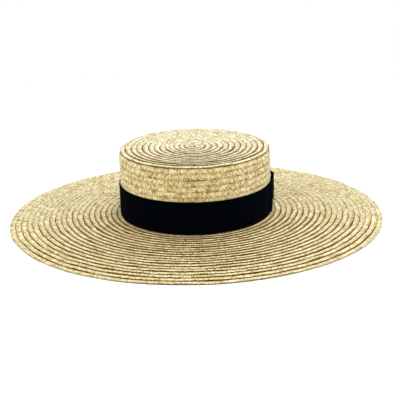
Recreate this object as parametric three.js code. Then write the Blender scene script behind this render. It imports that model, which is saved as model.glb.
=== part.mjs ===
// Wide-brimmed straw hat with a low flat crown, of the cordobes family: rows of wheat-straw plait
// sewn round and round, a black grosgrain ribbon and a flat side bow.
// Millimetres, +Z up. The front faces -Y and the bow sits on the wearer's left, +X.
// The origin is the middle of the rim's underside, the plane that the hat rests on.
import * as THREE from "three";

// The head oval, measured outside the crown's wall
const HALF_WIDTH = 88;
const HALF_LENGTH = 98;
const ROUND_CENTRE = 25; // nearer the tip's middle than this, the rows turn from oval to round

// Sewn plait
const WALL = 2; // two laps of plait
const LAP_STEP = 0.7; // how far each row's free edge stands over the row that it covers
const GAP = 0.3; // between pieces that touch

// Crown
const CROWN_HEIGHT = 76.2; // tip over the brim's top at the crown's foot
const SHOULDER_RADIUS = 5.8;
const CROWN_ROWS = 24; // from the tip's middle down to the brim
const SHOULDER_STEPS = 4; // facets to each row that crosses the shoulder

// Brim
const BRIM_WIDTH = 129.8;
const BRIM_ROWS = 20;
const BRIM_SAG = 0.9; // even fall from the crown's foot to the rim
const RIM_DROP = 3.4; // what the outer rows add, as the brim turns down near its rim
const DROP_POWER = 6;
const UNDERSIDE = [0, 0.35, 0.6, 0.75, 0.87]; // shares of the brim's width where its underside bends

// Ribbon band
const RIBBON_WIDTH = 36.5;
const RIBBON_THICKNESS = 1;
const RIBBON_LIFT = 1; // over the brim

// Side bow: a flattened loop of the same ribbon to each side, gathered under a narrow wrap
const BOW_OFFSET = 9; // behind the side point, along the band
const LOOP_LENGTH = 36; // from the middle of the wrap to each end
const LOOP_WIDTH = 36;
const WAIST_WIDTH = 21; // height of the loops where they are gathered
const GATHER_LENGTH = 14; // from the wrap's edge to where the loops have their full width
const LAYER_GAP = 0.3; // between a loop's two layers at the waist
const REAR_OPENING = 3; // how much further apart the layers stand at the rear end
const FRONT_OPENING = 0.8; // and at the front end
const REAR_LIFT = 3.2; // how far the rear loop's end springs away from the band
const LAYER_STEPS = 6; // stations along each layer of each loop
const FOLD_STEPS = 4; // stations round each end
const WRAP_WIDTH = 11;
const WRAP_STEPS = 4;
const WRAP_CORNER = 1.3; // radius of the wrap's outer edges, top and bottom

const SEGMENTS = 44; // facets round the oval

const INNER_HALF_WIDTH = HALF_WIDTH - WALL;
const MEAN_HALF_WIDTH = HALF_WIDTH - LAP_STEP / 2; // middle of the lapped rows' steps
const BRIM_TOP = WALL + BRIM_SAG + RIM_DROP; // at the crown's foot
const TIP_TOP = BRIM_TOP + CROWN_HEIGHT;
const LAST_ROW = (BRIM_ROWS - 1) / BRIM_ROWS; // the outermost row lies flat

// The difference between length and width is the same on every row, as rows of even width need.
function ovalStretch(radius) {
  return (HALF_LENGTH - HALF_WIDTH) * Math.min(1, radius / ROUND_CENTRE);
}

// Turns a closed profile of [radius, height] round the vertical axis, then stretches it to the oval.
function turnedOval(profile) {
  const points = profile.map(([radius, height]) => new THREE.Vector2(radius, height));
  const geometry = new THREE.LatheGeometry(points, SEGMENTS).rotateX(Math.PI / 2);
  const place = geometry.attributes.position;
  for (let i = 0; i < place.count; i++) {
    const radius = Math.hypot(place.getX(i), place.getY(i));
    if (radius > 0) place.setY(i, place.getY(i) * (1 + ovalStretch(radius) / radius));
  }
  geometry.computeVertexNormals();
  return geometry;
}

// Rows of plait along a wall. Each starts half a step below the wall's mean face and ends half a
// step above it, and the next row starts under its edge.
function lappedRows(face, length, rows, stepsOfRow) {
  const profile = [];
  const pitch = length / rows;
  for (let row = 0; row < rows; row++) {
    const steps = stepsOfRow(row * pitch, (row + 1) * pitch);
    for (let step = 0; step <= steps; step++) {
      const share = step / steps;
      profile.push(face((row + share) * pitch, (share - 0.5) * LAP_STEP));
    }
  }
  return profile;
}

const flatTip = MEAN_HALF_WIDTH - SHOULDER_RADIUS;
const shoulderArc = (Math.PI / 2) * SHOULDER_RADIUS;
const crownFoot = BRIM_TOP - LAP_STEP / 2 + GAP;
const crownLength = flatTip + shoulderArc + TIP_TOP - SHOULDER_RADIUS - crownFoot;

// A point of the crown's outer face, at a distance from the tip's middle over tip, shoulder and
// side, raised off the face by lift.
function crownFace(distance, lift) {
  if (distance <= flatTip) return [distance, TIP_TOP + lift];
  const turned = Math.min(distance - flatTip, shoulderArc) / SHOULDER_RADIUS;
  const reach = SHOULDER_RADIUS + lift;
  const down = Math.max(distance - flatTip - shoulderArc, 0);
  return [
    flatTip + reach * Math.sin(turned),
    TIP_TOP - SHOULDER_RADIUS + reach * Math.cos(turned) - down,
  ];
}

function crown() {
  const crossesShoulder = (start, end) => end > flatTip && start < flatTip + shoulderArc;
  const outside = lappedRows(crownFace, crownLength, CROWN_ROWS, (start, end) =>
    crossesShoulder(start, end) ? SHOULDER_STEPS : 1,
  );
  outside[0][0] = 0;
  const inside = [[INNER_HALF_WIDTH, crownFoot]];
  const innerRadius = SHOULDER_RADIUS - WALL;
  for (let step = SHOULDER_STEPS; step >= 0; step--) {
    const turned = ((Math.PI / 2) * step) / SHOULDER_STEPS;
    inside.push([
      INNER_HALF_WIDTH - innerRadius * (1 - Math.sin(turned)),
      TIP_TOP - WALL - innerRadius * (1 - Math.cos(turned)),
    ]);
  }
  inside.push([0, TIP_TOP - WALL]);
  return turnedOval([...outside, ...inside].reverse());
}

// Height of the brim's mean top face, at a share of its width from the crown.
function brimTop(share) {
  const bent = Math.min(share, LAST_ROW) / LAST_ROW;
  return BRIM_TOP - BRIM_SAG * bent - RIM_DROP * bent ** DROP_POWER;
}

function brim() {
  const face = (distance, lift) => [
    MEAN_HALF_WIDTH + distance,
    brimTop(distance / BRIM_WIDTH) + lift,
  ];
  const top = lappedRows(face, BRIM_WIDTH, BRIM_ROWS, () => 1);
  const seat = [INNER_HALF_WIDTH, BRIM_TOP - LAP_STEP / 2];
  const below = UNDERSIDE.map((share) => [
    share === 0 ? INNER_HALF_WIDTH : MEAN_HALF_WIDTH + share * BRIM_WIDTH,
    brimTop(share) - WALL,
  ]);
  below.push([MEAN_HALF_WIDTH + LAST_ROW * BRIM_WIDTH, 0], [MEAN_HALF_WIDTH + BRIM_WIDTH, 0]);
  return turnedOval([...below, ...top.reverse(), seat, below[0]]);
}

const bandInside = HALF_WIDTH + GAP;
const bandOutside = bandInside + RIBBON_THICKNESS;
const bandFoot = BRIM_TOP + RIBBON_LIFT;
const bandMiddle = bandFoot + RIBBON_WIDTH / 2;

function hatBand() {
  const bandHead = bandFoot + RIBBON_WIDTH;
  return turnedOval([
    [bandInside, bandFoot],
    [bandOutside, bandFoot],
    [bandOutside, bandHead],
    [bandInside, bandHead],
    [bandInside, bandFoot],
  ]);
}

// A point on the bow, at a distance along the band behind the bow's middle, a distance out from
// the band's face, and a height above the band's middle line.
function onBand(along, out, up) {
  const halfLength = bandOutside + ovalStretch(bandOutside);
  const angle = (BOW_OFFSET + along) / halfLength;
  const normal = new THREE.Vector2(Math.cos(angle) / bandOutside, Math.sin(angle) / halfLength);
  normal.normalize().multiplyScalar(out);
  return [
    bandOutside * Math.cos(angle) + normal.x,
    halfLength * Math.sin(angle) + normal.y,
    bandMiddle + up,
  ];
}

// Height of the loops at a distance from the wrap's middle: gathered there, full width beyond.
function loopWidth(along) {
  const spread = (Math.abs(along) - WRAP_WIDTH / 2) / GATHER_LENGTH;
  const share = Math.sin((Math.PI / 2) * Math.min(1, Math.max(0, spread)));
  return WAIST_WIDTH + (LOOP_WIDTH - WAIST_WIDTH) * share;
}

// How far a signed share of the loops' length is past the wrap, from 0 at its edge to 1 at the end.
function pastWrap(share) {
  const wrapped = WRAP_WIDTH / 2 / LOOP_LENGTH;
  return Math.max(0, Math.abs(share) - wrapped) / (1 - wrapped);
}

// Half the distance between the middles of a loop's two layers.
function layerSpread(share) {
  const opening = (share > 0 ? REAR_OPENING : FRONT_OPENING) * pastWrap(share);
  return (RIBBON_THICKNESS + LAYER_GAP + opening) / 2;
}

// The middle line of the bow's ribbon seen from above, as [along, out]: out to the rear end on the
// layer next to the band, round the fold and home, on to the front end, round and home again.
function loopLine() {
  const line = [];
  const lift = (share) => (share > 0 ? REAR_LIFT * pastWrap(share) ** 2 : 0);
  const between = (share) => GAP + RIBBON_THICKNESS / 2 + lift(share) + layerSpread(share);
  const straight = (side) => LOOP_LENGTH - RIBBON_THICKNESS / 2 - layerSpread(side);
  for (const side of [1, -1]) {
    for (let step = -LAYER_STEPS; step < LAYER_STEPS; step++) {
      const share = (side * step) / LAYER_STEPS;
      const reach = share > 0 ? straight(1) : straight(-1);
      line.push([share * reach, between(share) - side * layerSpread(share)]);
    }
    for (let step = 0; step < FOLD_STEPS; step++) {
      const turned = (Math.PI * step) / FOLD_STEPS;
      const radius = layerSpread(side);
      line.push([
        side * (straight(side) + radius * Math.sin(turned)),
        between(side) - side * radius * Math.cos(turned),
      ]);
    }
  }
  return line;
}

// The loops as one closed band of ribbon, standing on edge along loopLine.
function bowLoops() {
  const line = loopLine();
  const corners = [];
  line.forEach(([along, out], i) => {
    const before = line[(i + line.length - 1) % line.length];
    const after = line[(i + 1) % line.length];
    const outward = new THREE.Vector2(after[1] - before[1], before[0] - after[0]);
    outward.normalize().multiplyScalar(RIBBON_THICKNESS / 2);
    const half = loopWidth(along) / 2;
    for (const [face, edge] of [[-1, -1], [1, -1], [1, 1], [-1, 1]])
      corners.push(...onBand(along + face * outward.x, out + face * outward.y, edge * half));
  });
  const indices = [];
  for (let station = 0; station < line.length; station++) {
    const here = station * 4;
    const next = ((station + 1) % line.length) * 4;
    for (let side = 0; side < 4; side++) {
      const turn = (side + 1) % 4;
      indices.push(here + side, here + turn, next + turn, here + side, next + turn, next + side);
    }
  }
  const geometry = new THREE.BufferGeometry();
  geometry.setAttribute("position", new THREE.Float32BufferAttribute(corners, 3));
  geometry.setIndex(indices);
  geometry.computeVertexNormals();
  return geometry;
}

// The narrow wrap: over the loops' waist, its two ends tucked behind them down to the band.
function bowWrap() {
  const inFront = GAP + 2 * RIBBON_THICKNESS + LAYER_GAP + GAP;
  const outside = inFront + RIBBON_THICKNESS;
  const within = WAIST_WIDTH / 2 + GAP;
  const height = within + RIBBON_THICKNESS;
  const bend = WRAP_CORNER;
  const section = new THREE.Shape();
  section.moveTo(GAP, -height);
  section.lineTo(outside - bend, -height);
  section.absarc(outside - bend, bend - height, bend, -Math.PI / 2, 0, false);
  section.absarc(outside - bend, height - bend, bend, 0, Math.PI / 2, false);
  section.lineTo(GAP, height);
  section.lineTo(GAP, within);
  section.lineTo(inFront, within);
  section.lineTo(inFront, -within);
  section.lineTo(GAP, -within);
  section.closePath();
  const geometry = new THREE.ExtrudeGeometry(section, {
    depth: WRAP_WIDTH,
    steps: WRAP_STEPS,
    curveSegments: 3,
    bevelEnabled: false,
  });
  const place = geometry.attributes.position;
  for (let i = 0; i < place.count; i++) {
    const along = WRAP_WIDTH / 2 - place.getZ(i);
    place.setXYZ(i, ...onBand(along, place.getX(i), place.getY(i)));
  }
  geometry.computeVertexNormals();
  return geometry;
}

const hat = new THREE.Group();

function add(name, geometry, color, roughness) {
  const material = new THREE.MeshStandardMaterial({ color, roughness, metalness: 0 });
  const mesh = new THREE.Mesh(geometry, material);
  mesh.name = name;
  hat.add(mesh);
}

add("crown", crown(), 0xdcc890, 0.55);
add("brim", brim(), 0xd8c289, 0.55);
add("hat_band", hatBand(), 0x0b0c10, 0.8);
add("bow_loops", bowLoops(), 0x0b0c10, 0.8);
add("bow_wrap", bowWrap(), 0x0b0c10, 0.8);

export default hat;
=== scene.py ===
import math

import bpy
import numpy as np
from mathutils import Matrix, Vector


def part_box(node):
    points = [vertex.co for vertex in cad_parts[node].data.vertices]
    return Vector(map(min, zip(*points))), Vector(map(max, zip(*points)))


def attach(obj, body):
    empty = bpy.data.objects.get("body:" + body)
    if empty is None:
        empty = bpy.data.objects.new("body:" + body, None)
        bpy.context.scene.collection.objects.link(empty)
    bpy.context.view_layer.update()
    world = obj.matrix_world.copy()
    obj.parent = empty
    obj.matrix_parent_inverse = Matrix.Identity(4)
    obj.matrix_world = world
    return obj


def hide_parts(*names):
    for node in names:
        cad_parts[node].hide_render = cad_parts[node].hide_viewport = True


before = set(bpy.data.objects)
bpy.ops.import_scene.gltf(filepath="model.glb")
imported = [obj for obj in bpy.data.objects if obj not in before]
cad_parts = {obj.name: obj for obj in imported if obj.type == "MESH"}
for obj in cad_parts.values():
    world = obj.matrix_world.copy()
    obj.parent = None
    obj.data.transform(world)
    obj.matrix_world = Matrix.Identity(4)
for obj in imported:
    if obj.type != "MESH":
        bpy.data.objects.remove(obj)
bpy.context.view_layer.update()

# ---------------------------------------------------------------------------------------------
# Camera: a long lens in front of the hat and a little above it, as in a catalogue picture.
# It is held a degree and a half out of level.
MM = 0.001
LENS_TURN = -1.545  # degrees out of level
camera_place = Vector((0, -1060.85, 337.16)) * MM
camera_aim = Vector((4.836, 0, 16.61)) * MM
bpy.ops.object.camera_add(location=camera_place)
camera = bpy.context.object
look = (camera_aim - camera_place).to_track_quat("-Z", "Y").to_matrix()
camera.rotation_euler = (look @ Matrix.Rotation(math.radians(LENS_TURN), 3, "Z")).to_euler()
camera.data.lens = 84.42
camera.data.sensor_width = 36
bpy.context.scene.camera = camera

# ---------------------------------------------------------------------------------------------
# Studio: a round white table in a white room, and five soft lights, over the hat and all round it.
# The one behind gives the straw its pale gloss, and the front one is a little warmer.
def colour(code):
    """Linear RGBA from an sRGB hex value."""
    parts = [int(code[i : i + 2], 16) / 255 for i in (1, 3, 5)]
    return [p / 12.92 if p <= 0.04045 else ((p + 0.055) / 1.055) ** 2.4 for p in parts] + [1]


def new_material(name):
    """A material with only its output and an empty Principled BSDF."""
    material = bpy.data.materials.new(name)
    material.use_nodes = True
    return material, material.node_tree.nodes["Principled BSDF"]


def node(material, kind, settings=None, **inputs):
    """Adds a node, sets its properties and its inputs, and links those that are sockets. An input
    goes by its name, with _ for a space, or by its number, as in i0."""
    made = material.node_tree.nodes.new(kind)
    for name, value in (settings or {}).items():
        setattr(made, name, value)
    for name, value in inputs.items():
        socket = made.inputs[int(name[1:]) if name[1:].isdigit() else name.replace("_", " ")]
        if isinstance(value, bpy.types.NodeSocket):
            material.node_tree.links.new(value, socket)
        else:
            socket.default_value = value
    return made


TABLE_RADIUS = 1.0
bpy.ops.object.select_all(action="DESELECT")
bpy.ops.mesh.primitive_circle_add(vertices=128, radius=TABLE_RADIUS, fill_type="NGON")
floor = bpy.context.object
floor.name = "floor"
table_paint, surface = new_material("white_table_paint")
surface.inputs["Base Color"].default_value = colour("#F4F4F2")
surface.inputs["Roughness"].default_value = 0.9
surface.inputs["Specular IOR Level"].default_value = 0.2
floor.data.materials.append(table_paint)

# The room looks plain white, and lights the hat weakly and mostly from its ceiling.
room = bpy.data.worlds.new("room")
room.use_nodes = True
sky = room.node_tree.nodes
seen = sky.new("ShaderNodeLightPath")
way = sky.new("ShaderNodeTexCoord")
split = sky.new("ShaderNodeSeparateXYZ")
fill = sky.new("ShaderNodeMapRange")
fill.inputs["From Min"].default_value = 0.1
fill.inputs["From Max"].default_value = 0.9
fill.inputs["To Min"].default_value = 0.12
fill.inputs["To Max"].default_value = 0.55
pick = sky.new("ShaderNodeMix")
pick.inputs["B"].default_value = 1.0
wires = room.node_tree.links
wires.new(way.outputs["Generated"], split.inputs["Vector"])
wires.new(split.outputs["Z"], fill.inputs["Value"])
wires.new(seen.outputs["Is Camera Ray"], pick.inputs["Factor"])
wires.new(fill.outputs["Result"], pick.inputs["A"])
wires.new(pick.outputs["Result"], sky["Background"].inputs["Strength"])
sky["Background"].inputs["Color"].default_value = (1, 1, 1, 1)
bpy.context.scene.world = room
bpy.context.scene.view_settings.view_transform = "Standard"


def soft_light(name, place, size, watts, tint):
    """A square lamp that faces the middle of the hat."""
    bpy.ops.object.light_add(type="AREA", location=place)
    light = bpy.context.object
    light.name = name
    light.rotation_euler = (-Vector(place)).to_track_quat("-Z", "Y").to_euler()
    light.data.size = size
    light.data.energy = watts
    light.data.color = tint


cool = (0.92, 0.99, 1)
warm = (1, 0.78, 0.4)
soft_light("overhead_light", (0.15, 0, 2.0), 0.8, 28, cool)
soft_light("back_light", (1.8, 2.3, 1.3), 2.4, 33, cool)
soft_light("front_light", (-0.3, -2.45, 0.75), 1.6, 21, warm)
soft_light("left_light", (-2.2, -0.6, 0.9), 1.2, 35, (0.89, 1, 1))
soft_light("right_light", (2.2, -0.6, 0.9), 1.2, 34, cool)

# ---------------------------------------------------------------------------------------------
# Straw plait. Wheat straws are split, flattened and plaited by hand, five at a time, into a flat
# braid 9 mm wide. Each straw runs slantwise to one edge, folds over and runs back, and passes
# over and under the others by turns. The straws' rounded, glossy outer faces are all on top.
STRAWS = 5
SWING = 3.6 * MM  # from the braid's middle line to where a straw folds back
STRAW_WIDTH = 2.0 * MM
STRAW_RISE = 0.62 * MM  # height of its rounded outer face
PASS = 2 * SWING / STRAWS  # along the braid, from one crossing to the next
CROSSING = 0.3 * MM  # how far a straw rises to pass over, and sinks to pass under
FOLD_REACH = 0.4 * STRAW_WIDTH  # how far its outer corner stands out at the fold
REPEAT = 4 * SWING  # a straw's way out, back and out again, measured along the braid
HALF_BRAID = SWING + FOLD_REACH

# One straw over one repeat: a three-cornered section drawn along its zigzag.
bpy.ops.object.select_all(action="DESELECT")
bpy.ops.mesh.primitive_circle_add(vertices=3, radius=MM)
straw = bpy.context.object
half_cut = STRAW_WIDTH / math.sqrt(2)  # half its width, cut square across the braid
BELOW = 0.3  # the share of its height that lies under the braid's middle
corners = [(half_cut, -BELOW), (0, 1 - BELOW), (-half_cut, -BELOW)]
for vertex, (across, rise) in zip(straw.data.vertices, corners):
    vertex.co = (0, across, rise * STRAW_RISE)
stations = []
for leg, side in ((0, 1), (1, -1)):
    stations.append(Vector((leg * 2 * SWING, -side * SWING, 0)))
    for crossing in range(1, STRAWS):
        run = crossing * PASS
        lift = CROSSING if crossing % 2 else -CROSSING
        stations.append(Vector((leg * 2 * SWING + run, side * (run - SWING), lift)))
stations.append(Vector((REPEAT, -SWING, 0)))
bpy.ops.object.mode_set(mode="EDIT")
bpy.ops.mesh.select_all(action="SELECT")
bpy.ops.transform.translate(value=stations[0])
for before, after in zip(stations, stations[1:]):
    bpy.ops.mesh.extrude_edges_move(TRANSFORM_OT_translate={"value": after - before})
bpy.ops.mesh.select_all(action="SELECT")
bpy.ops.mesh.normals_make_consistent(inside=False)
bpy.ops.object.mode_set(mode="OBJECT")

# The straw's own map: along it, and across it beside the other straws of the braid, each in a
# lane 1 wide of which it fills four fifths. Then its corners at the folds are drawn in.
HALF_LANE = 0.4
straw_map = straw.data.uv_layers.new(name="straw").data
for loop in straw.data.loops:
    place = straw.data.vertices[loop.vertex_index].co
    off_middle = place.y - min(stations, key=lambda station: abs(station.x - place.x)).y
    on_middle = abs(off_middle) < half_cut / 2
    across = 0 if on_middle else math.copysign(HALF_LANE, off_middle)
    straw_map[loop.index].uv = (place.x / REPEAT, 0.5 + across)
for vertex in straw.data.vertices:
    if abs(vertex.co.y) > SWING + half_cut / 2:
        vertex.co.y = math.copysign(HALF_BRAID, vertex.co.y)

straw.data.attributes.new("straw_number", "INT", "POINT")
straws = [straw]
for number in range(1, STRAWS):
    other = straw.copy()
    other.data = straw.data.copy()
    bpy.context.collection.objects.link(other)
    other.data.transform(Matrix.Translation((REPEAT / STRAWS * number, 0, 0)))
    for corner in other.data.uv_layers["straw"].data:
        corner.uv.y += number
    for mark in other.data.attributes["straw_number"].data:
        mark.value = number
    straws.append(other)
bpy.ops.object.select_all(action="DESELECT")
for each in straws:
    each.select_set(True)
bpy.context.view_layer.objects.active = straw
bpy.ops.object.join()
plait = straw
plait.name = "plait"
UNEVEN = np.array([0.10, 0.08, 0.045]) * MM  # how far the straws stray along, across and up


def length_of_plait(repeats, seed):
    """A straight braid of so many repeats with closed ends, its straws a little uneven."""
    bpy.ops.object.select_all(action="DESELECT")
    braid = plait.copy()
    braid.data = plait.data.copy()
    bpy.context.collection.objects.link(braid)
    bpy.context.view_layer.objects.active = braid
    braid.select_set(True)
    bpy.ops.object.modifier_add(type="ARRAY")
    array = braid.modifiers[0]
    array.count = repeats
    array.use_relative_offset = False
    array.use_constant_offset = True
    array.constant_offset_displace = (REPEAT, 0, 0)
    array.use_merge_vertices = True
    array.merge_threshold = 0.01 * MM
    bpy.ops.object.modifier_apply(modifier=array.name)
    bpy.ops.object.mode_set(mode="EDIT")
    bpy.ops.mesh.select_mode(type="EDGE")
    bpy.ops.mesh.select_all(action="DESELECT")
    bpy.ops.mesh.select_non_manifold(use_wire=False, use_multi_face=False, use_verts=False)
    bpy.ops.mesh.fill_holes(sides=3)
    bpy.ops.object.mode_set(mode="OBJECT")
    places = np.empty(len(braid.data.vertices) * 3)
    braid.data.vertices.foreach_get("co", places)
    places = places.reshape(-1, 3)
    corner_vertex = np.empty(len(braid.data.loops), int)
    braid.data.loops.foreach_get("vertex_index", corner_vertex)
    along_straw = np.empty(len(braid.data.loops) * 2)
    braid.data.uv_layers["straw"].data.foreach_get("uv", along_straw)
    along_straw = along_straw.reshape(-1, 2)
    along_straw[:, 0] = places[corner_vertex, 0] / REPEAT
    braid.data.uv_layers["straw"].data.foreach_set("uv", along_straw.ravel())
    across_braid = places[corner_vertex, :2] / REPEAT
    braid.data.uv_layers.new(name="braid").data.foreach_set("uv", across_braid.ravel())
    height = braid.data.attributes.new("height", "FLOAT", "POINT")
    height.data.foreach_set("value", places[:, 2] / CROSSING)
    number = np.empty(len(places), int)
    braid.data.attributes["straw_number"].data.foreach_get("value", number)
    pass_over = np.round(places[:, 0] / PASS).astype(int) * STRAWS + number
    tone = np.random.default_rng(seed + 20).normal(0, 1, pass_over.max() + 1)[pass_over]
    braid.data.attributes.new("tone", "FLOAT", "POINT").data.foreach_set("value", tone)
    braid.data.attributes.remove(braid.data.attributes["straw_number"])
    places += np.random.default_rng(seed).normal(0, 1, places.shape) * UNEVEN
    return braid, places


TURN_STEPS = 720  # places worked out in each turn of a spiral
MOVE_OUT = 1 / 6  # the least share of a turn in which the plait moves out by a row


def spiral(face, row_width, start, rows, least, early_zone):
    """Where a plait lies that is sewn round and round, clockwise from the back, each turn lapped
    over the next. Turn by turn: its angle, its inner and outer edges' distances along the face
    and the length of plait used so far. It moves out by a row as it comes to the back, over
    early_zone of the first turn and then less of each, down to MOVE_OUT. Its inner edge comes no
    nearer to the face's start than least."""
    turn = np.arange(start, rows + 0.5 / TURN_STEPS, 1 / TURN_STEPS)
    row = np.minimum(np.floor(turn), rows - 1)
    share = turn - row
    zone = np.clip(early_zone - row * MOVE_OUT, MOVE_OUT, 1)
    ramp = np.clip((share - 1 + zone) / zone, 0, 1)
    ramp = np.where(row == rows - 1, 0, ramp * ramp * (3 - 2 * ramp))
    outer = row_width * (row + 1 + ramp)
    inner = np.maximum(outer - 2 * HALF_BRAID, least)
    angle = math.pi / 2 - 2 * math.pi * turn
    radius, height = face((inner + outer) / 2, 0)
    x, y = oval(radius, angle)
    step = np.sqrt(np.diff(x) ** 2 + np.diff(y) ** 2 + np.diff(height) ** 2)
    used = np.concatenate([[0], np.cumsum(step)])
    return {"turn": turn, "angle": angle, "inner": inner, "outer": outer, "used": used}


SPARE = 5 * MM  # how much of the spiral's line the plait leaves free in all
START_GAP = 0.5 * MM  # and how much of that is before its start
WANDER_STEP = 16 * MM  # from one change of course in the sewing to the next
WANDER_STEPS = 4000  # more than the longest plait has
SIDEWAYS = 0.3 * MM  # how far the plait wanders along the face
UPWARDS = 0.2 * MM  # and how far its outer edge wanders off it


def sewn(name, laid, face, tilt, painted_lap_shade, first, last, of, seed):
    """The plait's repeats from first to last, out of so many in the whole spiral, as a piece.
    Hand sewing lets it wander a little. The function after tilt gives, by the turn, how much extra
    shade is painted along the laps."""
    braid, places = length_of_plait(last - first, seed)
    along, across, lift = places.T
    used = (along / REPEAT + first) / of * (laid["used"][-1] - SPARE) + START_GAP
    angle, inner, outer, turn = (
        np.interp(used, laid["used"], laid[what]) for what in ("angle", "inner", "outer", "turn")
    )
    wander = np.random.default_rng(seed + 50).normal(0, 1, (2, WANDER_STEPS))
    knots = np.arange(WANDER_STEPS) * WANDER_STEP
    sideways = np.interp(used, knots, wander[0]) * SIDEWAYS * np.clip(turn / 3, 0, 1)
    inner = inner + sideways
    outer = outer + sideways
    share = across / HALF_BRAID
    lift = lift + np.interp(used, knots, wander[1]) * UPWARDS * (share + 1) / 2
    distance = inner + (share + 1) / 2 * (outer - inner)
    radius, height = face(distance, tilt(share, lift, turn, outer))
    x, y = oval(radius, angle)
    braid.data.vertices.foreach_set("co", np.stack([x, y, height], 1).ravel())
    on_next = np.clip(12 * (laid["turn"][-1] - 1 - turn), 0, 1)  # the last turn has no next one
    braid.data.attributes.new("lapped", "FLOAT", "POINT").data.foreach_set("value", on_next)
    # How much extra shade is painted along the laps, turn by turn.
    braid.data.attributes.new("painted_lap_shade", "FLOAT", "POINT").data.foreach_set("value", painted_lap_shade(turn))
    braid.data.update()
    braid.name = name
    braid.data.name = name
    bpy.ops.object.shade_smooth_by_angle(angle=math.radians(100))
    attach(braid, "root")
    return braid


crown_low, crown_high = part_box("crown")
LAP_STEP = 0.7 * MM  # the plain solids' step from row to row
mean_half_width = crown_high.x - LAP_STEP / 2
extra_length = crown_high.y - crown_high.x
ROUND_CENTRE = 25 * MM  # the spiral starts round, and is a full oval from this radius on


def oval(radius, angle):
    """The head oval: past the centre, every row is longer than it is wide by the same amount."""
    stretched = radius + extra_length * np.clip(radius / ROUND_CENTRE, -1, 1)
    return radius * np.cos(angle), stretched * np.sin(angle)


LAP_TILT = 1.08 * MM  # how far a row's outer edge stands over the braid's middle
TUCK = 1.6 * MM  # how far its inner edge is drawn up against the row over it
BRAID_DEPTH = -0.7 * MM  # the braid's middle, under the solids' mean face
TIP_TURNS = 13  # turns of the crown's spiral in its tip, to halfway over the shoulder
TIP_BLOCKED = 0.65  # how hard the tip is pressed, where the side is 1
TIP_EDGE = 11.5  # the turn at the tip's edge, which the press reaches less
EDGE_SPARED = 0.55  # how much less
PRESSED = 0.55  # the share of a lap's slant that full pressing takes away


def tuck(share):
    """How far the inner quarter of the braid is drawn up."""
    return TUCK * np.clip(-2 * share - 1, 0, 1)


def lapped(share, lift, turn, outer):
    """Each row's inner edge is under the row before, and its outer edge on the row after."""
    blocked = TIP_BLOCKED + (1 - TIP_BLOCKED) * np.clip((turn - TIP_TURNS) / 2, 0, 1)
    blocked = blocked - EDGE_SPARED * np.clip(2 - abs(turn - TIP_EDGE), 0, 1)
    return BRAID_DEPTH + (LAP_TILT * share + tuck(share)) * (1 - PRESSED * blocked) + lift


# ---------------------------------------------------------------------------------------------
# Crown: the plait starts in the middle of the flat tip and is sewn round to the shoulder, then
# blocked down over it, row on row, to the brim.
SHOULDER_RADIUS = 5.8 * MM
tip_top = crown_high.z - LAP_STEP / 2
flat_tip = mean_half_width - SHOULDER_RADIUS
shoulder_arc = math.pi / 2 * SHOULDER_RADIUS
crown_length = flat_tip + shoulder_arc + tip_top - SHOULDER_RADIUS - crown_low.z
CROWN_ROWS = 24


def crown_face(distance, lift):
    """The place, so far from the tip's middle along the crown and so far out from its face."""
    turned = np.clip((distance - flat_tip) / SHOULDER_RADIUS, 0, math.pi / 2)
    reach = SHOULDER_RADIUS + lift
    down = np.maximum(distance - flat_tip - shoulder_arc, 0)
    radius = np.minimum(distance, flat_tip) + reach * np.sin(turned)
    return radius, tip_top - SHOULDER_RADIUS + reach * np.cos(turned) - down


SHOULDER_TURN = 12.5  # the turn that lies on the shoulder
SHOULDER_LAP_SHADE = 0.7  # how much extra shade is painted along its lap, where the most is 1
BOW_TURN = 0.28  # the share of a turn from the back to just before the bow


def crown_lap_shade(turn):
    """Extra shade painted along the laps: on the shoulder, where a row bends most, and below it on
    the bow's side.
    """
    shoulder = np.clip(1.5 - 2 * abs(turn - SHOULDER_TURN), 0, 1)
    to_bow = np.clip(np.cos(2 * math.pi * (turn - BOW_TURN)), 0, 1)
    return SHOULDER_LAP_SHADE * shoulder + to_bow * np.clip(turn - TIP_TURNS, 0, 1)


crown_spiral = spiral(
    crown_face, crown_length / CROWN_ROWS, start=-0.8, rows=CROWN_ROWS, least=0.25 * MM, early_zone=1
)
crown_repeats = round(crown_spiral["used"][-1] / REPEAT)
tip_repeats = round(np.interp(TIP_TURNS, crown_spiral["turn"], crown_spiral["used"]) / REPEAT)
crown_work = (crown_spiral, crown_face, lapped, crown_lap_shade)
straw_tip = sewn("straw_tip", *crown_work, 0, tip_repeats, crown_repeats, 1)
straw_side = sewn("straw_side", *crown_work, tip_repeats, crown_repeats, crown_repeats, 2)
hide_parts("crown")

# ---------------------------------------------------------------------------------------------
# Brim: the same plait turned out flat from the crown's foot and sewn on for twenty more rows.
# It falls a little all the way and more near its rim, where the last row lies on the table.
BRIM_ROWS = 20
BRIM_SAG = 0.9 * MM  # how far the brim falls evenly
RIM_DROP = 3.4 * MM  # and how far it falls more and more towards its rim
LAST_ROW = 1 - 1 / BRIM_ROWS  # the share of the brim's width where its last row starts
BRIM_START = -1 / 6  # the turn at which the plait starts, under the crown's foot
PIECE_STARTS = {"straw_brim_inner": BRIM_START, "straw_brim_middle": 9, "straw_brim_outer": 15}
SHADED_LAP_TURNS = 15  # turns over which the extra shade painted along the brim's laps fades out
END_FLATNESS = 0.8  # the share of their slant that the first and last edges lose
brim_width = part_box("brim")[1].x - mean_half_width
brim_top = crown_low.z + 0.05 * MM


def brim_face(distance, lift):
    """The place, so far out from the crown's face and so far over the brim's."""
    bent = np.minimum(distance / brim_width, LAST_ROW) / LAST_ROW
    return mean_half_width + distance, brim_top - BRIM_SAG * bent - RIM_DROP * bent**6 + lift


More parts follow.
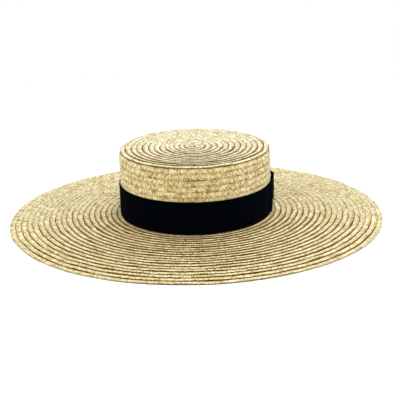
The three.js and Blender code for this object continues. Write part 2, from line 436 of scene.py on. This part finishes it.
def lapped_brim(share, lift, turn, outer):
    """As on the crown, but the first row's inner edge and the last row's outer edge lie flat."""
    row = outer / brim_width * BRIM_ROWS
    first = np.clip(2 - row, 0, 1)
    last = np.clip(row - BRIM_ROWS + 1, 0, 1)
    flat = np.where(share < 0, first, last)
    return BRAID_DEPTH + LAP_TILT * share * (1 - END_FLATNESS * flat) + tuck(share) + lift


def brim_lap_shade(turn):
    """Extra shade painted along the laps, most in the first rows, which the crown's foot bends up."""
    return np.clip(1 - turn / SHADED_LAP_TURNS, 0, 1)


brim_spiral = spiral(
    brim_face, brim_width / BRIM_ROWS, start=BRIM_START, rows=BRIM_ROWS, least=-1.4 * MM, early_zone=0
)
brim_repeats = round(brim_spiral["used"][-1] / REPEAT)
cuts = [
    round(np.interp(turn, brim_spiral["turn"], brim_spiral["used"]) / REPEAT)
    for turn in PIECE_STARTS.values()
]
cuts.append(brim_repeats)
brim_work = (brim_spiral, brim_face, lapped_brim, brim_lap_shade)
brim_pieces = []
for number, name in enumerate(PIECE_STARTS):
    first, last = cuts[number : number + 2]
    brim_pieces.append(sewn(name, *brim_work, first, last, brim_repeats, 3 + number))
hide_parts("brim")
bpy.data.objects.remove(plait)

# The straw's finish is mixed from noise along each straw and from painted shade at places across
# the braid, which are given as shares of half its width.
STITCH = 3.3 * MM  # from one stitch to the next
STITCH_LINE = 2.45 * MM  # from the braid's middle line
STITCH_HALF = 0.15 * MM  # half the line's width
STITCH_FADE = 0.4 * MM  # from its edge to where it has faded out
FIBRE = 0.25 * MM  # the fine lines that run along a straw
PATCH = 5.5 * MM  # the size of paler and browner stretches of braid
UNDER_FADE = 0.1  # how soon the painted shade at the row's inner edge fades out
EDGE_FADE = 0.14  # and the painted shade at its outer edge
LAP_SHADE_FLOOR = 0.7  # the least painted shade along a lap that gets the most extra shade


def straw_finish(name, shades, lap_under, lap_edge, lap_least, lap_most):
    """Split wheat straw: pale gold with a hard natural gloss, a little lighter or darker from straw
    to straw. Shade is painted into it: brown and dull where the straws dip under the crossings,
    where the rows lap and in dots along the stitching. The row's inner edge is painted dark up to
    lap_under. Its outer edge is painted dark from lap_edge on, by lap_most at the straws' folds and
    lap_least between them."""
    straw_skin, surface = new_material(name)
    surface.inputs["Specular IOR Level"].default_value = 0.3

    def link(socket, name):
        """Links a node's output to the surface's input of that name."""
        straw_skin.node_tree.links.new(socket, surface.inputs[name])

    along = node(straw_skin, "ShaderNodeUVMap", {"uv_map": "straw"})
    lengths = node(straw_skin, "ShaderNodeTexNoise", Vector=along.outputs["UV"], Scale=0.8,
                   Detail=2.0)
    place = node(straw_skin, "ShaderNodeUVMap", {"uv_map": "braid"})
    patches = node(straw_skin, "ShaderNodeTexNoise", Vector=place.outputs["UV"],
                   Scale=REPEAT / PATCH, Detail=1.0)
    fine = node(straw_skin, "ShaderNodeVectorMath", {"operation": "MULTIPLY"},
                i0=along.outputs["UV"], i1=(4, STRAW_WIDTH / (2 * HALF_LANE) / FIBRE, 1))
    fibres = node(straw_skin, "ShaderNodeTexNoise", Vector=fine.outputs["Vector"], Scale=1.0,
                  Detail=1.0)
    each = node(straw_skin, "ShaderNodeAttribute", {"attribute_name": "tone"})
    tone = node(straw_skin, "ShaderNodeMath", {"operation": "MULTIPLY_ADD"},
                i0=each.outputs["Fac"], i1=0.16, i2=lengths.outputs["Fac"])
    tone = node(straw_skin, "ShaderNodeMath", {"operation": "MULTIPLY_ADD"},
                i0=patches.outputs["Fac"], i1=0.4, i2=tone.outputs["Value"])
    tone = node(straw_skin, "ShaderNodeMath", {"operation": "MULTIPLY_ADD"},
                i0=fibres.outputs["Fac"], i1=0.3, i2=tone.outputs["Value"])
    tone = node(straw_skin, "ShaderNodeMath", {"operation": "SUBTRACT"},
                i0=tone.outputs["Value"], i1=0.15)
    tones = node(straw_skin, "ShaderNodeValToRGB", i0=tone.outputs["Value"])
    tones.color_ramp.elements[0].position = 0.3
    tones.color_ramp.elements[0].color = colour(shades[0])
    tones.color_ramp.elements[1].position = 1.0
    tones.color_ramp.elements[1].color = colour(shades[2])
    tones.color_ramp.elements.new(0.68).color = colour(shades[1])
    # Painted shade in the weave's hollows: the lower a straw lies, the darker it is painted.
    high = node(straw_skin, "ShaderNodeAttribute", {"attribute_name": "height"})
    sunk = node(straw_skin, "ShaderNodeMapRange", {"interpolation_type": "SMOOTHSTEP"},
                Value=high.outputs["Fac"], From_Min=-1.6, From_Max=1.2, To_Min=0.9, To_Max=0.0)
    braid_place = node(straw_skin, "ShaderNodeSeparateXYZ", Vector=place.outputs["UV"])
    # Painted shade on the row's inner edge, where it lies under the row before.
    tucked = node(straw_skin, "ShaderNodeMapRange", {"interpolation_type": "SMOOTHSTEP"},
                  Value=braid_place.outputs["Y"],
                  From_Min=(lap_under - UNDER_FADE) * HALF_BRAID / REPEAT,
                  From_Max=lap_under * HALF_BRAID / REPEAT, To_Min=lap_most, To_Max=0.0)
    # Painted shade along the row's outer edge, by lap_most at the straws' folds and lap_least between
    # them, and none on the last turn.
    teeth = node(straw_skin, "ShaderNodeMath", {"operation": "MULTIPLY"},
                 i0=braid_place.outputs["X"], i1=2 * math.pi * STRAWS)
    teeth = node(straw_skin, "ShaderNodeMath", {"operation": "COSINE"}, i0=teeth.outputs["Value"])
    teeth = node(straw_skin, "ShaderNodeMapRange", Value=teeth.outputs["Value"], From_Min=-0.7,
                 From_Max=0.5, To_Min=lap_least, To_Max=lap_most)
    on_next = node(straw_skin, "ShaderNodeAttribute", {"attribute_name": "lapped"})
    teeth = node(straw_skin, "ShaderNodeMath", {"operation": "MULTIPLY"},
                 i0=teeth.outputs["Result"], i1=on_next.outputs["Fac"])
    # More painted shade along the laps, as much as the piece's attribute gives turn by turn.
    painted_lap_shade = node(straw_skin, "ShaderNodeAttribute", {"attribute_name": "painted_lap_shade"})
    shade_floor = node(straw_skin, "ShaderNodeMath", {"operation": "MULTIPLY"},
                i0=painted_lap_shade.outputs["Fac"], i1=LAP_SHADE_FLOOR)
    teeth = node(straw_skin, "ShaderNodeMath", {"operation": "MAXIMUM"},
                 i0=teeth.outputs["Value"], i1=shade_floor.outputs["Value"])
    outward = node(straw_skin, "ShaderNodeMath", {"operation": "MULTIPLY_ADD"},
                   i0=painted_lap_shade.outputs["Fac"], i1=EDGE_FADE * HALF_BRAID / REPEAT,
                   i2=braid_place.outputs["Y"])
    edge = node(straw_skin, "ShaderNodeMapRange", {"interpolation_type": "SMOOTHSTEP"},
                Value=outward.outputs["Value"], From_Min=lap_edge * HALF_BRAID / REPEAT,
                From_Max=(lap_edge + EDGE_FADE) * HALF_BRAID / REPEAT, To_Min=0.0,
                To_Max=teeth.outputs["Value"])
    # Painted shade of the stitches' dimples: a dotted dark line along the stitching.
    off_line = node(straw_skin, "ShaderNodeMath", {"operation": "SUBTRACT"},
                    i0=braid_place.outputs["Y"], i1=STITCH_LINE / REPEAT)
    off_line = node(straw_skin, "ShaderNodeMath", {"operation": "ABSOLUTE"},
                    i0=off_line.outputs["Value"])
    seam = node(straw_skin, "ShaderNodeMapRange", {"interpolation_type": "SMOOTHSTEP"},
                Value=off_line.outputs["Value"], From_Min=STITCH_HALF / REPEAT,
                From_Max=STITCH_FADE / REPEAT, To_Min=1.0, To_Max=0.0)
    beat = node(straw_skin, "ShaderNodeMath", {"operation": "MULTIPLY"},
                i0=braid_place.outputs["X"], i1=2 * math.pi * REPEAT / STITCH)
    beat = node(straw_skin, "ShaderNodeMath", {"operation": "SINE"}, i0=beat.outputs["Value"])
    beat = node(straw_skin, "ShaderNodeMapRange", Value=beat.outputs["Value"], From_Min=-0.4,
                From_Max=0.6, To_Min=0.25, To_Max=0.8)
    seam = node(straw_skin, "ShaderNodeMath", {"operation": "MULTIPLY"},
                i0=seam.outputs["Result"], i1=beat.outputs["Result"])
    shade = tucked.outputs["Result"]
    for other in (edge.outputs["Result"], sunk.outputs["Result"], seam.outputs["Value"]):
        shade = node(straw_skin, "ShaderNodeMath", {"operation": "MAXIMUM"}, i0=shade, i1=other)
        shade = shade.outputs["Value"]
    # The painted shade darkens the straw's colour to brown.
    shade_colours = node(straw_skin, "ShaderNodeValToRGB", i0=shade)
    shade_colours.color_ramp.elements[0].color = (1, 1, 1, 1)
    shade_colours.color_ramp.elements[1].color = colour("#7E5C1E")
    shade_colours.color_ramp.elements.new(0.5).color = colour("#C8AE74")
    mixed = node(straw_skin, "ShaderNodeMix", {"data_type": "RGBA", "blend_type": "MULTIPLY"},
                 i0=1.0, i6=tones.outputs["Color"], i7=shade_colours.outputs["Color"])
    link(mixed.outputs[2], "Base Color")
    # In the painted shade the gloss is tinted dark brown, so it hardly shines.
    shine = node(straw_skin, "ShaderNodeMix", {"data_type": "RGBA"}, i0=shade,
                 i6=colour("#FFF6DC"), i7=colour("#402A10"))
    link(shine.outputs[2], "Specular Tint")
    gloss = node(straw_skin, "ShaderNodeMapRange", Value=shade, From_Min=0.0, From_Max=0.6,
                 To_Min=0.36, To_Max=0.9)
    link(gloss.outputs["Result"], "Roughness")
    relief = node(straw_skin, "ShaderNodeBump", Height=fibres.outputs["Fac"], Strength=0.5,
                  Distance=0.06 * MM)
    link(relief.outputs["Normal"], "Normal")
    return straw_skin


# The brim's straw is natural, the side's is painted a little darker as shade, and the tip's is
# paler. On the blocked side the laps are pressed nearly shut.
wheat = ("#7E602A", "#D5C492", "#F6F2DE")
shaded_side_wheat = ("#7C5E2C", "#D0BE8B", "#F0EBD4")
pale_tip_wheat = ("#826434", "#D7CBA6", "#F6F4E8")
brim_straw = straw_finish(
    "wheat_straw_plait", wheat, lap_under=-0.42, lap_edge=0.76, lap_least=0.85, lap_most=1.0
)
tip_straw = straw_finish(
    "pale_tip_straw_plait", pale_tip_wheat, lap_under=-0.42, lap_edge=0.7, lap_least=0.9, lap_most=1.0
)
side_straw = straw_finish(
    "blocked_straw_plait", shaded_side_wheat, lap_under=-0.54, lap_edge=0.84, lap_least=0.05, lap_most=0.8
)
for piece in brim_pieces:
    piece.data.materials.append(brim_straw)
straw_tip.data.materials.append(tip_straw)
straw_side.data.materials.append(side_straw)

# ---------------------------------------------------------------------------------------------
# Hat band: a black grosgrain ribbon, a matt rayon cloth with fine ribs across it. It is drawn
# round the crown's foot and tacked, and its ends meet under the bow.
band_low, band_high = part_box("hat_band")
RIBBON_THICKNESS = 0.7 * MM
GAP = 0.3 * MM  # between the ribbon and what it lies on
band_middle = (band_low.z + band_high.z) / 2
band_radius = mean_half_width + LAP_STEP / 2 + GAP + RIBBON_THICKNESS / 2
band_girth = math.pi * (2 * band_radius + extra_length)
BAND_STEPS = 10
bpy.ops.object.select_all(action="DESELECT")
bpy.ops.mesh.primitive_circle_add(vertices=240, radius=band_radius)
hat_band = bpy.context.object
hat_band.name = "ribbon_band"
bpy.ops.object.mode_set(mode="EDIT")
bpy.ops.mesh.select_all(action="SELECT")
bpy.ops.transform.resize(value=(1, 1 + extra_length / band_radius, 1))
bpy.ops.transform.translate(value=(0, 0, band_low.z))
rise = (band_high.z - band_low.z) / BAND_STEPS
for step in range(BAND_STEPS):
    bpy.ops.mesh.extrude_edges_move(TRANSFORM_OT_translate={"value": (0, 0, rise)})
bpy.ops.mesh.select_all(action="SELECT")
bpy.ops.mesh.normals_make_consistent(inside=False)
bpy.ops.object.mode_set(mode="OBJECT")


def ribbon_finish(ribbon, thickness):
    """Gives the cloth its thickness and its soft woven edges."""
    bpy.context.view_layer.objects.active = ribbon
    bpy.ops.object.modifier_add(type="SOLIDIFY")
    ribbon.modifiers[-1].thickness = thickness
    ribbon.modifiers[-1].offset = 0
    bpy.ops.object.modifier_apply(modifier=ribbon.modifiers[-1].name)
    bpy.ops.object.modifier_add(type="BEVEL")
    ribbon.modifiers[-1].width = thickness / 3
    ribbon.modifiers[-1].segments = 2
    ribbon.modifiers[-1].angle_limit = math.radians(60)
    bpy.ops.object.modifier_apply(modifier=ribbon.modifiers[-1].name)
    bpy.ops.object.shade_smooth_by_angle(angle=math.radians(50))
    ribbon.data.materials.append(grosgrain)
    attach(ribbon, "root")


def cloth_map(ribbon, place_on_cloth, round_trip):
    """The cloth's own map in metres: along the ribbon and across it. A face that spans the place
    where the ribbon closes is kept in one piece by adding the round trip to its low corners."""
    cloth = ribbon.data.uv_layers.new(name="cloth").data
    for face in ribbon.data.polygons:
        places = [place_on_cloth(ribbon.data.vertices[corner].co) for corner in face.vertices]
        furthest = max(along for along, across in places)
        for loop, (along, across) in zip(face.loop_indices, places):
            if furthest - along > round_trip / 2:
                along += round_trip
            cloth[loop].uv = (along, across)


# The rayon is so black that only the fine ribs and a cool bloom at a slant show.
RIB = 1 * MM
grosgrain, surface = new_material("black_grosgrain_ribbon")
surface.inputs["Roughness"].default_value = 0.95
surface.inputs["Specular IOR Level"].default_value = 0.01
surface.inputs["Sheen Weight"].default_value = 0.005
surface.inputs["Sheen Roughness"].default_value = 0.4
surface.inputs["Sheen Tint"].default_value = colour("#B9C8EA")
place = node(grosgrain, "ShaderNodeUVMap", {"uv_map": "cloth"})
place = node(grosgrain, "ShaderNodeSeparateXYZ", Vector=place.outputs["UV"])
ribs = node(grosgrain, "ShaderNodeMath", {"operation": "MULTIPLY"},
            i0=place.outputs["X"], i1=2 * math.pi / RIB)
ribs = node(grosgrain, "ShaderNodeMath", {"operation": "SINE"}, i0=ribs.outputs["Value"])
threads = node(grosgrain, "ShaderNodeValToRGB", i0=ribs.outputs["Value"])
threads.color_ramp.elements[0].color = colour("#000103")
threads.color_ramp.elements[1].color = colour("#030812")
grosgrain.node_tree.links.new(threads.outputs["Color"], surface.inputs["Base Color"])
relief = node(grosgrain, "ShaderNodeBump", Height=ribs.outputs["Value"], Strength=0.6,
              Distance=0.12 * MM)
grosgrain.node_tree.links.new(relief.outputs["Normal"], surface.inputs["Normal"])


def on_the_band(co):
    """A vertex's place on the cloth of the band."""
    return math.atan2(co.y, co.x) / (2 * math.pi) * band_girth, co.z


cloth_map(hat_band, on_the_band, band_girth)
ribbon_finish(hat_band, RIBBON_THICKNESS)
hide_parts("hat_band")

# ---------------------------------------------------------------------------------------------
# Bow: a length of the same ribbon folded to a flat loop on each side and gathered in the middle,
# sewn on the wearer's left over the band's ends. The rear loop springs a little off the band.
BOW_OFFSET = 9 * MM  # from the side's middle back to the bow's
LOOP_LENGTH = 36 * MM
LOOP_WIDTH = 36 * MM
WAIST_WIDTH = 21 * MM  # the loops' width under the wrap
FRONT_GATHER = 9 * MM  # from the wrap's edge to where a loop has its full width
REAR_GATHER = 3.5 * MM  # the same behind the wrap
WRAP_WIDTH = 11 * MM
REAR_OPENING = 3 * MM  # between the rear loop's layers at its end
FRONT_PUFF = 1.3 * MM  # how far the front loop stands off beside the wrap
REAR_LIFT = 4.2 * MM  # from the band to the rear loop's end
REAR_DROOP = 1.6 * MM  # how far the rear loop's end hangs below the bow's middle line
RIPPLE = 0.9 * MM  # the slack cloth's wave across the rear loop
SPRING = 0.15  # the lower, the sooner the rear loop stands off behind the wrap
CLOTH = 0.36 * MM  # the ribbon itself, which the plain solids have thicker
SOLID_EXTRA = 0.3 * MM  # the plain band is this much thicker than the ribbon band
LAYER_GAP = 0.1 * MM  # between the loops' layers under the wrap
CRUMPLE = 0.25 * MM  # height of the small pleats at the waist and in the wrap
PLEAT = LOOP_WIDTH / 4.5  # from one pleat at the waist to the next
RIPPLE_LENGTH = 0.6 * LOOP_WIDTH  # from one wave to the next
REAR_TAPER = 0.04  # how much narrower the rear loop is from its start
END_TAPER = 0.1  # and how much more so at its end
LAYER_STEPS = 20
FOLD_STEPS = 10
HEIGHT_STEPS = 16


def on_band(along, out, up):
    """A place on the bow: along the band behind the bow's middle, out from it, and up."""
    angle = (BOW_OFFSET + along) / band_high.y
    normal = Vector((math.cos(angle) / band_high.x, math.sin(angle) / band_high.y)).normalized()
    x = band_high.x * math.cos(angle) + normal.x * (out - SOLID_EXTRA)
    y = band_high.y * math.sin(angle) + normal.y * (out - SOLID_EXTRA)
    return x, y, band_middle + up


def past_wrap(share):
    """From 0 at the wrap's edge to 1 at a loop's end, by its share of the loop's length."""
    wrapped = WRAP_WIDTH / 2 / LOOP_LENGTH
    return max(0, abs(share) - wrapped) / (1 - wrapped)


def layer_spread(share):
    """Half the way between a loop's layers. The rear loop opens at once, the front one stays shut."""
    opening = REAR_OPENING * past_wrap(share) ** SPRING if share > 0 else 0
    return (CLOTH + LAYER_GAP + opening) / 2


def sprung(share):
    """How far a loop's under layer stands off the band."""
    if share > 0:
        return REAR_LIFT * past_wrap(share) ** SPRING
    return FRONT_PUFF * math.exp(-past_wrap(share) * 6)


def gathered(along):
    """From 1 under the wrap to 0 where the loop has its full width."""
    reach = REAR_GATHER if along > 0 else FRONT_GATHER
    spread = min(1, max(0, (abs(along) - WRAP_WIDTH / 2) / reach))
    return (1 + math.cos(math.pi * spread)) / 2


# The ribbon's line along both loops, as places along the band and out from it: the inner layer
# from front to rear, the rear fold, the outer layer back, and the front fold.
loop_line = []
for side in (1, -1):
    for step in range(-LAYER_STEPS, LAYER_STEPS):
        share = side * step / LAYER_STEPS
        reach = LOOP_LENGTH - CLOTH / 2 - layer_spread(1 if share > 0 else -1)
        out = GAP + CLOTH / 2 + sprung(share) + layer_spread(share) * (1 - side)
        loop_line.append((share * reach, out))
    radius = layer_spread(side)
    straight = LOOP_LENGTH - CLOTH / 2 - radius
    middle = GAP + CLOTH / 2 + sprung(side) + radius
    for step in range(FOLD_STEPS):
        turned = math.pi * step / FOLD_STEPS
        along = side * (straight + radius * math.sin(turned))
        loop_line.append((along, middle - side * radius * math.cos(turned)))
bpy.ops.object.select_all(action="DESELECT")
bpy.ops.mesh.primitive_circle_add(vertices=len(loop_line), radius=LOOP_LENGTH)
bow_loops = bpy.context.object
bow_loops.name = "ribbon_bow"
bpy.ops.object.mode_set(mode="EDIT")
bpy.ops.mesh.select_all(action="SELECT")
bpy.ops.transform.translate(value=(0, 0, -LOOP_WIDTH / 2))
rise = LOOP_WIDTH / HEIGHT_STEPS
for step in range(HEIGHT_STEPS):
    bpy.ops.mesh.extrude_edges_move(TRANSFORM_OT_translate={"value": (0, 0, rise)})
bpy.ops.object.mode_set(mode="OBJECT")
loop_steps = [math.dist(a, b) for a, b in zip(loop_line, loop_line[1:] + loop_line[:1])]
loops_girth = sum(loop_steps)


def loop_number(co):
    """The number of the loops' line that a vertex of the round stands for."""
    return round(math.atan2(co.x, co.y) / (2 * math.pi) * len(loop_line)) % len(loop_line)


def on_the_loops(co):
    """A vertex's place on the cloth of the loops."""
    return sum(loop_steps[: loop_number(co)]), co.z


cloth_map(bow_loops, on_the_loops, loops_girth)
for vertex in bow_loops.data.vertices:
    up = vertex.co.z
    along, out = loop_line[loop_number(vertex.co)]
    pinch = gathered(along)
    loose = past_wrap(along / LOOP_LENGTH)
    taper = REAR_TAPER + END_TAPER * loose if along > 0 else 0
    slack = loose**0.5 if along > 0 else 0
    full = LOOP_WIDTH * (1 - taper)
    width = full + (WAIST_WIDTH - full) * pinch
    pleat = CRUMPLE * pinch * math.cos(2 * math.pi * up / PLEAT)
    ripple = RIPPLE * slack * math.cos(2 * math.pi * up / RIPPLE_LENGTH)
    droop = REAR_DROOP * slack**2
    vertex.co = on_band(along, out + pleat + ripple, up * width / LOOP_WIDTH - droop)
bpy.ops.object.mode_set(mode="EDIT")
bpy.ops.mesh.select_all(action="SELECT")
bpy.ops.mesh.normals_make_consistent(inside=False)
bpy.ops.object.mode_set(mode="OBJECT")
ribbon_finish(bow_loops, CLOTH)
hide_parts("bow_loops")

# ---------------------------------------------------------------------------------------------
# Bow wrap: a narrow folded strip of the ribbon over the loops' waist. Its two ends go behind them
# and are sewn down to the band.
WRAP_CORNER = 1.3 * MM  # its outer radius round the loops' edges
CORNER_STEPS = 5
WRAP_STEPS = 14
WRAP_BULGE = 1.5 * MM  # how far its middle stands out
WRAP_PLEAT = WRAP_WIDTH / 2.5  # from one pleat to the next
wrap_foot = GAP + 0.1 * MM
wrap_reach = GAP + 2 * RIBBON_THICKNESS + GAP + GAP + CLOTH / 2
wrap_half = WAIST_WIDTH / 2 + GAP + CLOTH / 2
bend = WRAP_CORNER - CLOTH / 2
wrap_line = [(wrap_foot, -wrap_half)]
for side in (-1, 1):
    for step in range(CORNER_STEPS + 1):
        turned = math.pi / 2 * (step / CORNER_STEPS if side < 0 else 1 - step / CORNER_STEPS)
        wrap_line.append((
            wrap_reach - bend + bend * math.sin(turned),
            side * (wrap_half - bend + bend * math.cos(turned)),
        ))
wrap_line.append((wrap_foot, wrap_half))
wrap_steps = [math.dist(a, b) for a, b in zip(wrap_line, wrap_line[1:])]
bpy.ops.object.select_all(action="DESELECT")
bpy.ops.mesh.primitive_grid_add(
    x_subdivisions=WRAP_STEPS, y_subdivisions=len(wrap_line) - 1, size=2
)
bow_wrap = bpy.context.object
bow_wrap.name = "ribbon_wrap"
for vertex in bow_wrap.data.vertices:
    number = round((vertex.co.y + 1) / 2 * (len(wrap_line) - 1))
    vertex.co = (vertex.co.x * WRAP_WIDTH / 2, number, sum(wrap_steps[:number]))


def on_the_wrap(co):
    """A vertex's place on the cloth of the wrap."""
    return co.z, co.x


cloth_map(bow_wrap, on_the_wrap, 1)
for vertex in bow_wrap.data.vertices:
    along, number, used = vertex.co
    out, up = wrap_line[round(number)]
    fold = CRUMPLE * math.cos(2 * math.pi * along / WRAP_PLEAT) if out > MM else 0
    standing = math.cos(math.pi / 2 * up / wrap_half) * min(1, out / wrap_reach)
    vertex.co = on_band(along, out + fold + WRAP_BULGE * standing, up)
bpy.ops.object.mode_set(mode="EDIT")
bpy.ops.mesh.select_all(action="SELECT")
bpy.ops.mesh.normals_make_consistent(inside=False)
bpy.ops.object.mode_set(mode="OBJECT")
ribbon_finish(bow_wrap, CLOTH)
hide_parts("bow_wrap")
